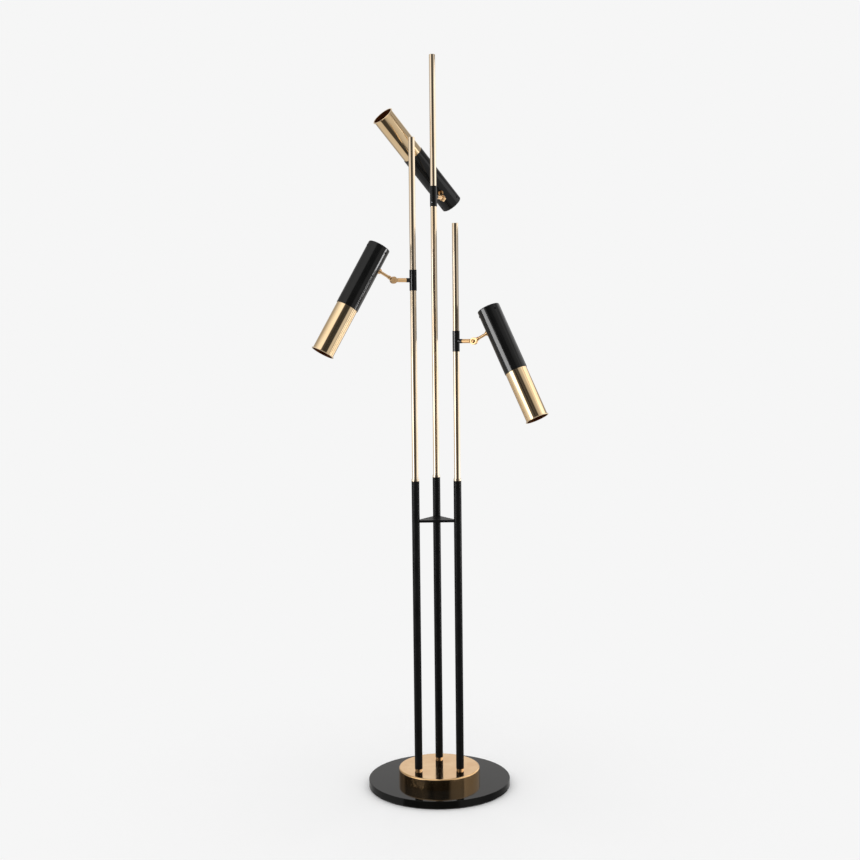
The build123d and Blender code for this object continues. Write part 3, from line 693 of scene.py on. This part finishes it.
class FLOORLAMP_OT_arms(bpy.types.Operator):
    """Finishes the sleeves, arms and stems, and draws their screws"""

    bl_idname = "floor_lamp.arms"
    bl_label = "Arms and knuckles"

    def execute(self, context):
        finish, detail, _ = settings()
        gloss = gloss_coat(finish)
        # Machined brass: bright and warm, with a fine even grain.
        machined = polished_brass("machined_brass", warm(finish), 0.09, (1.2, 1.2, 1.2))
        zinc = bpy.data.materials["zinc_plated_steel"]
        for head in HEADS:
            dress(f"{head}_sleeve", gloss)
            for node in ("arm", "stem", "saddles"):
                dress(f"{head}_{node}", machined)
            dress(f"{head}_stem_nut", zinc)
            self.draw_knuckle_screw(head, detail, machined)
            self.draw_grub_screws(head, detail, zinc)
        return {"FINISHED"}

    @staticmethod
    def draw_knuckle_screw(head, detail, material):
        """The screw through the knuckle, which rides on the arm."""
        origin, hinge = joint(f"{head}_tilt")
        _, along = joint(f"{head}_arm_roll")
        place = placed(origin, along, hinge)
        if max(points_in(f"{head}_pivot_screw", place), key=from_axis).z > 0:
            place = placed(origin, along, -hinge)
        low, high = span(f"{head}_pivot_screw", place)
        add_piece(f"{head}_knuckle_screw",
                  lambda shape: knuckle_screw(shape, detail, low[2], high[2]),
                  place, f"{head}_arm_group", material, f"{head}_pivot_screw")

    @staticmethod
    def draw_grub_screws(head, detail, material):
        """The sleeve's stop screw behind the rod and the neck's screw under the arm."""
        origin, _ = joint(f"{head}_swivel")
        _, along = joint(f"{head}_arm_roll")
        up = Vector((0, 0, 1))
        sleeve = placed(origin, along, up)
        low, high = span(f"{head}_grub_screws", sleeve)
        backwards = Matrix.Rotation(-math.pi / 2, 4, "Y")
        downwards = Matrix.Rotation(math.pi, 4, "X")
        stop = Matrix.Translation((low[0], 0, -STOP_SCREW_DROP)) @ backwards
        neck_face = (high[0] - GRUB_RADIUS, 0, neck_underside(head, sleeve))
        neck = Matrix.Translation(neck_face) @ downwards

        def make(shape):
            grub_screw(shape, stop, detail)
            grub_screw(shape, neck, detail)

        add_piece(f"{head}_socket_screws", make, sleeve, f"{head}_sleeve_group", material,
                  f"{head}_grub_screws")


def neck_underside(head, sleeve):
    """The height of the neck screw's outer face below the arm's axis."""
    points = points_in(f"{head}_grub_screws", sleeve)
    reach = max(point.x for point in points) - NECK_SCREW_ZONE
    return min(point.z for point in points if point.x > reach)


class FLOORLAMP_OT_heads(bpy.types.Operator):
    """Finishes the spot heads and draws the screws of their rear caps"""

    bl_idname = "floor_lamp.heads"
    bl_label = "Spot heads"

    def execute(self, context):
        finish, detail, _ = settings()
        gloss = gloss_coat(finish)
        # Steatite ceramic: matt, off-white, with a fine fired grain.
        ceramic = plain_mould("fired_steatite", "#E6E1D3", "#DAD4C4", 0.6, 0.4, 0.01)
        # Blackened steel: small dark screws that catch a point of light.
        screws = plain_mould("blackened_steel", "#2A2A2C", "#1D1D1F", 0.3, 0.5, 0.003, 1.0)
        for head in HEADS:
            place = head_place(head)
            # Spun brass: faint rings round the shade from the spinning tool.
            # Inside its bore the shade's brass is painted a darker brown, as painted shade.
            shade = polished_brass(f"spun_brass_{head}", pale(finish), finish.polish,
                                   (30.0, 30.0, 0.6), place, (SHADE_BORE_RADIUS, finish.inner_shade_colour))
            dress(f"{head}_shade", shade)
            dress(f"{head}_housing", gloss)
            dress(f"{head}_rear_cap", gloss)
            dress(f"{head}_lamp_holder", ceramic)
            self.draw_cap_screws(head, place, detail, screws)
        return {"FINISHED"}

    @staticmethod
    def draw_cap_screws(head, place, detail, material):
        """The three screws round the rear, where the CAD has them."""
        points = points_in(f"{head}_cap_screws", place)
        low, high = span(f"{head}_cap_screws", place)
        middle = (low[2] + high[2]) / 2
        outermost = from_axis(max(points, key=from_axis)) - 0.05 * MM
        # The outermost points lie evenly round the axis, so their angles times the count agree.
        total = Vector((0, 0, 0))
        for point in points:
            if from_axis(point) > outermost:
                angle = CAP_SCREW_COUNT * math.atan2(point.y, point.x)
                total += Vector((math.cos(angle), math.sin(angle), 0))
        first = math.atan2(total.y, total.x) / CAP_SCREW_COUNT
        outwards = Matrix.Rotation(math.pi / 2, 4, "Y")
        seat = Matrix.Translation((HOUSING_RADIUS, 0, middle)) @ outwards

        def make(shape):
            for index in range(CAP_SCREW_COUNT):
                spin = Matrix.Rotation(first + 2 * math.pi * index / CAP_SCREW_COUNT, 4, "Z")
                cap_screw(shape, spin @ seat, detail)

        add_piece(f"{head}_cross_screws", make, place, f"{head}_head_group", material,
                  f"{head}_cap_screws")


class FLOORLAMP_OT_lamps(bpy.types.Operator):
    """Draws the three reflector lamps deep inside the shades"""

    bl_idname = "floor_lamp.lamps"
    bl_label = "Reflector lamps"

    def execute(self, context):
        _, detail, _ = settings()
        # Aluminised pressed glass: a bright, slightly hazy mirror.
        mirror = plain_mould("aluminised_glass", "#D9DADB", "#C9CBCE", 0.16, 1.2, 0.004, 1.0)
        glass = pressed_glass("pressed_lens_glass")
        zinc = bpy.data.materials["zinc_plated_steel"]
        for head in HEADS:
            place = head_place(head)
            low, high = span(f"{head}_lamp", place)
            front = high[2]
            back = front - LAMP_LENGTH
            body = f"{head}_head_group"
            add_piece(f"{head}_reflector", lambda shape: lamp_body(shape, back, front),
                      place, body, mirror, f"{head}_lamp")
            add_piece(f"{head}_lens", lambda shape: lamp_lens(shape, front, detail.lens_rings),
                      place, body, glass)
            add_piece(f"{head}_lamp_pins", lambda shape: lamp_pins(shape, back, back - low[2]),
                      place, body, zinc)
        return {"FINISHED"}


# ---------------------------------------------------------------- studio

def add_camera():
    """The photograph's camera."""
    pitch, yaw, roll = (math.radians(angle) for angle in (CAMERA_PITCH, CAMERA_YAW, CAMERA_ROLL))
    level = Vector((math.sin(yaw), math.cos(yaw), 0))
    forward = level * math.cos(pitch) + Vector((0, 0, math.sin(pitch)))
    right = Vector((math.cos(yaw), -math.sin(yaw), 0))
    up = right.cross(forward)
    rolled_right = math.cos(roll) * right - math.sin(roll) * up
    rolled_up = math.sin(roll) * right + math.cos(roll) * up
    data = bpy.data.cameras.new("photo_camera")
    data.sensor_width = SENSOR_MM
    data.lens = FOCAL_PIXELS / PICTURE_PIXELS * SENSOR_MM
    data.clip_end = CAMERA_SEES_TO
    camera = bpy.data.objects.new("photo_camera", data)
    turned = Matrix((rolled_right, rolled_up, -forward)).transposed().to_4x4()
    camera.matrix_world = Matrix.Translation(CAMERA_PLACE) @ turned
    bpy.context.scene.collection.objects.link(camera)
    bpy.context.scene.camera = camera


def black_pieces():
    """The painted pieces, which reflect little and so get their own brighter softboxes."""
    group = bpy.data.collections.new("black_painted_pieces")
    nodes = [f"{head}_{part}" for head in HEADS for part in ("housing", "rear_cap", "sleeve")]
    nodes += [f"{column}_tube" for column in COLUMNS] + ["brace_plate", "base_disc"]
    for node in nodes:
        group.objects.link(frame["nodes"][node])
    return group


def add_softbox(name, degrees, width, height, centre, distance, brightness, lit=None):
    """A softbox that faces the lamp and is seen only in reflections, in some pieces or in all."""
    turn = math.radians(degrees)
    place = Vector((distance * math.sin(turn), -distance * math.cos(turn), centre))
    inwards = Vector((0, 0, centre)) - place
    data = bpy.data.lights.new(name, "AREA")
    data.shape = "RECTANGLE"
    data.size = width
    data.size_y = height
    data.energy = brightness * math.pi * width * height
    lamp = bpy.data.objects.new(name, data)
    lamp.location = place
    lamp.rotation_euler = inwards.to_track_quat("-Z", "Y").to_euler()
    lamp.visible_camera = False
    lamp.visible_diffuse = False
    lamp.light_linking.receiver_collection = lit
    bpy.context.scene.collection.objects.link(lamp)


def work_out(tree, operation, first, second=0.0, third=0.0):
    """One arithmetic step."""
    made = add_node(tree, "ShaderNodeMath", {"operation": operation}, {0: first, 1: second, 2: third})
    return made.outputs[0]


def rise(tree, value, low, high, start=0.0, end=1.0):
    """A smooth step from one number to another between two places."""
    made = add_node(tree, "ShaderNodeMapRange", {"interpolation_type": "SMOOTHSTEP"}, {
        "Value": value, "From Min": low, "From Max": high, "To Min": start, "To Max": end})
    return made.outputs["Result"]


def window(tree, value, low, high, soft):
    """One between two places and nought outside them."""
    return work_out(tree, "MULTIPLY", rise(tree, value, low - soft, low + soft),
                    rise(tree, value, high - soft, high + soft, 1.0, 0.0))


# The studio that polished surfaces show. Directions are in degrees, from the front towards the
# right and up from level, and a brightness of 1 is white. Each row is a direction and a brightness.
WALLS = ((-180, 0.45), (-130, 0.42), (-106, 0.60), (-86, 0.88), (-67, 1.05), (-49, 1.25),
         (-20, 1.25), (10, 0.45), (38, 0.62), (60, 0.70), (72, 0.55), (90, 0.36), (135, 0.36),
         (155, 0.45), (180, 0.45))
WALL_PEAK = 1.3
WALL_TINT = (1.0, 0.985, 0.97, 1.0)
# Low down the walls are even, and between two angles they pass into the rest.
LOW_WALLS = 0.7
LOW_WALLS_END = (-40, -24)
# One corner in front is dark.
CORNER_HALF_WIDTH = 46
CORNER_HALF_HEIGHT = 48
CORNER_MIDDLE_UP = -15
CORNER_DARK = 0.09
# The floor fades into the backdrop between two distances from the lamp, in metres.
FLOOR_RADIUS = 14.0
FLOOR_FADES = (0.35, 1.1)
# Name, degrees from the front, width, height, height of the centre, distance, strength.
PANELS = (
    ("left_softbox", -64, 4.6, 1.75, 0.875, 6.5, 1.4),
    ("right_softbox", 91, 1.25, 0.96, -0.08, 4.5, 0.5),
    ("low_panel", 111, 2.4, 0.9, 0.65, 1.5, 1.0),
    ("high_panel", 108, 2.4, 0.6, 1.8, 1.5, 1.0),
)
# Black paint reflects little, so it gets brighter softboxes of its own. They stand just in front
# of the plain ones, because of two in one plane only one is seen.
PANELS_ON_BLACK = (
    ("left_softbox_on_black", -64, 4.5, 1.72, 0.875, 6.35, 1.0),
    ("right_softbox_on_black", 91, 1.2, 0.93, -0.08, 4.35, 1.5),
)


def wall_brightness(tree, around, up):
    """What polished surfaces see: bright walls and one dark corner in front."""
    ramp = add_node(tree, "ShaderNodeValToRGB", None, {
        0: work_out(tree, "MULTIPLY_ADD", around, 1 / 360, 0.5)})
    stops = ramp.color_ramp.elements
    while len(stops) < len(WALLS):
        stops.new(0.5)
    for stop, (degrees, level) in zip(stops, WALLS):
        stop.position = degrees / 360 + 0.5
        stop.color = (*(level / WALL_PEAK,) * 3, 1.0)
    level = work_out(tree, "MULTIPLY", ramp.outputs[0], WALL_PEAK)
    # The dark corner is an oval in front, a little below eye level, that leans left at its foot.
    middle = rise(tree, up, -34, 0, -22, -2)
    across = work_out(tree, "DIVIDE", work_out(tree, "SUBTRACT", around, middle), CORNER_HALF_WIDTH)
    along = work_out(tree, "MULTIPLY_ADD", up, 1 / CORNER_HALF_HEIGHT,
                     -CORNER_MIDDLE_UP / CORNER_HALF_HEIGHT)
    reach = work_out(tree, "SQRT", work_out(tree, "ADD", work_out(tree, "MULTIPLY", across, across),
                                            work_out(tree, "MULTIPLY", along, along)))
    # Low down the walls are even, and high up on the right and behind they are lit.
    even = rise(tree, up, *LOW_WALLS_END)
    level = work_out(tree, "ADD", work_out(tree, "MULTIPLY", level, even),
                     work_out(tree, "MULTIPLY_ADD", even, -LOW_WALLS, LOW_WALLS))
    right = work_out(tree, "MULTIPLY", window(tree, around, 52, 112, 8), rise(tree, up, 24, 34))
    level = work_out(tree, "MULTIPLY", level, work_out(tree, "MULTIPLY_ADD", right, 0.6, 1.0))
    turned = work_out(tree, "ABSOLUTE", around)
    behind = work_out(tree, "MULTIPLY", rise(tree, turned, 140, 165), rise(tree, up, 8, 16))
    level = work_out(tree, "MULTIPLY", level, work_out(tree, "MULTIPLY_ADD", behind, 0.9, 1.0))
    level = work_out(tree, "MULTIPLY", level, rise(tree, reach, 0.92, 1.08, CORNER_DARK, 1.0))
    # A dark gap crosses the left wall above the softbox.
    gap = work_out(tree, "MULTIPLY", window(tree, around, -118, -15, 8), window(tree, up, 14, 26, 2))
    return work_out(tree, "MULTIPLY", level, work_out(tree, "MULTIPLY_ADD", gap, -0.85, 1.0))


def fill_world(studio):
    """Even light all round. The camera sees a plain backdrop and metal sees the studio's walls."""
    world = bpy.data.worlds.new("white_studio")
    bpy.context.scene.world = world
    world.use_nodes = True
    tree = world.node_tree
    tree.nodes.clear()
    path = add_node(tree, "ShaderNodeLightPath")
    direction = add_node(tree, "ShaderNodeTexCoord")
    parts = add_node(tree, "ShaderNodeSeparateXYZ", None, {0: direction.outputs["Generated"]})
    front = work_out(tree, "MULTIPLY", parts.outputs["Y"], -1.0)
    around = work_out(tree, "DEGREES", work_out(tree, "ARCTAN2", parts.outputs["X"], front))
    up = work_out(tree, "DEGREES", work_out(tree, "ARCSINE", parts.outputs["Z"]))
    walls = add_node(tree, "ShaderNodeBackground", None, {
        "Color": WALL_TINT, "Strength": wall_brightness(tree, around, up)})
    backdrop = add_node(tree, "ShaderNodeBackground", None, {
        "Color": with_alpha(studio.backdrop), "Strength": 1.0})
    light = add_node(tree, "ShaderNodeBackground", None, {
        "Color": (1.0, 1.0, 1.0, 1.0), "Strength": studio.world_light})
    sight = work_out(tree, "MAXIMUM", path.outputs["Is Camera Ray"],
                     path.outputs["Is Transmission Ray"])
    mirrored = add_node(tree, "ShaderNodeMixShader", None, {
        0: path.outputs["Is Glossy Ray"], 1: light.outputs[0], 2: walls.outputs[0]})
    both = add_node(tree, "ShaderNodeMixShader", None, {
        0: sight, 1: mirrored.outputs[0], 2: backdrop.outputs[0]})
    add_node(tree, "ShaderNodeOutputWorld", None, {"Surface": both.outputs[0]})


def add_floor(studio):
    """A pale matt floor that keeps the shadow near the lamp and fades into the backdrop."""
    material = bpy.data.materials.new("pale_studio_floor")
    material.use_nodes = True
    tree = material.node_tree
    tree.nodes.clear()
    coordinates = add_node(tree, "ShaderNodeTexCoord")
    reach = add_node(tree, "ShaderNodeVectorMath", {"operation": "LENGTH"},
                     {0: coordinates.outputs["Object"]})
    far = add_node(tree, "ShaderNodeMapRange", {"interpolation_type": "SMOOTHSTEP"}, {
        "Value": reach.outputs["Value"], "From Min": FLOOR_FADES[0], "From Max": FLOOR_FADES[1]})
    path = add_node(tree, "ShaderNodeLightPath")
    sight = work_out(tree, "MAXIMUM", path.outputs["Is Camera Ray"], path.outputs["Is Glossy Ray"])
    blend = work_out(tree, "MULTIPLY", far.outputs["Result"], sight)
    matt = add_node(tree, "ShaderNodeBsdfDiffuse", None, {"Color": with_alpha(studio.backdrop)})
    white = add_node(tree, "ShaderNodeEmission", None, {
        "Color": with_alpha(studio.backdrop), "Strength": 1.0})
    both = add_node(tree, "ShaderNodeMixShader", None, {
        0: blend, 1: matt.outputs[0], 2: white.outputs[0]})
    add_node(tree, "ShaderNodeOutputMaterial", None, {"Surface": both.outputs[0]})
    mesh = bpy.data.meshes.new("studio_floor")
    shape = bmesh.new()
    bmesh.ops.create_circle(shape, cap_ends=True, segments=96, radius=FLOOR_RADIUS)
    shape.to_mesh(mesh)
    shape.free()
    mesh.materials.append(material)
    floor = bpy.data.objects.new("studio_floor", mesh)
    floor.visible_glossy = False
    bpy.context.scene.collection.objects.link(floor)


class FLOORLAMP_OT_stage(bpy.types.Operator):
    """Adds the floor, the backdrop, the softboxes and the camera"""

    bl_idname = "floor_lamp.stage"
    bl_label = "Studio"

    def execute(self, context):
        _, _, studio = settings()
        add_camera()
        fill_world(studio)
        add_floor(studio)
        for *panel, strength in PANELS:
            add_softbox(*panel, studio.panel_light * strength)
        black = black_pieces()
        for *panel, strength in PANELS_ON_BLACK:
            add_softbox(*panel, studio.softbox_light * strength, black)
        bpy.context.scene.view_settings.view_transform = "Standard"
        return {"FINISHED"}


class FLOORLAMP_PT_panel(bpy.types.Panel):
    """The lamp's settings and steps"""

    bl_idname = "FLOORLAMP_PT_panel"
    bl_label = "Floor Lamp"
    bl_space_type = "VIEW_3D"
    bl_region_type = "UI"
    bl_category = "Floor Lamp"

    def draw(self, context):
        layout = self.layout
        for group in settings():
            box = layout.box()
            for name in group.__annotations__:
                box.prop(group, name)
        for operator in OPERATORS:
            layout.operator(operator.bl_idname)


GROUPS = {
    "floor_lamp_finish": FloorLampFinish,
    "floor_lamp_detail": FloorLampDetail,
    "floor_lamp_studio": FloorLampStudio,
}
OPERATORS = (
    FLOORLAMP_OT_base, FLOORLAMP_OT_columns, FLOORLAMP_OT_arms,
    FLOORLAMP_OT_heads, FLOORLAMP_OT_lamps, FLOORLAMP_OT_stage,
)


def register():
    """Registers the settings, the operators and the panel."""
    for name, group in GROUPS.items():
        bpy.utils.register_class(group)
        setattr(bpy.types.Scene, name, PointerProperty(type=group))
    for operator in OPERATORS:
        bpy.utils.register_class(operator)
    bpy.utils.register_class(FLOORLAMP_PT_panel)


def unregister():
    """Removes what register added."""
    bpy.utils.unregister_class(FLOORLAMP_PT_panel)
    for operator in reversed(OPERATORS):
        bpy.utils.unregister_class(operator)
    for name, group in reversed(GROUPS.items()):
        delattr(bpy.types.Scene, name)
        bpy.utils.unregister_class(group)


def main():
    register()
    bpy.ops.floor_lamp.base()
    bpy.ops.floor_lamp.columns()
    bpy.ops.floor_lamp.arms()
    bpy.ops.floor_lamp.heads()
    bpy.ops.floor_lamp.lamps()
    bpy.ops.floor_lamp.stage()
    bpy.context.view_layer.update()


if __name__ == "__main__":
    main()
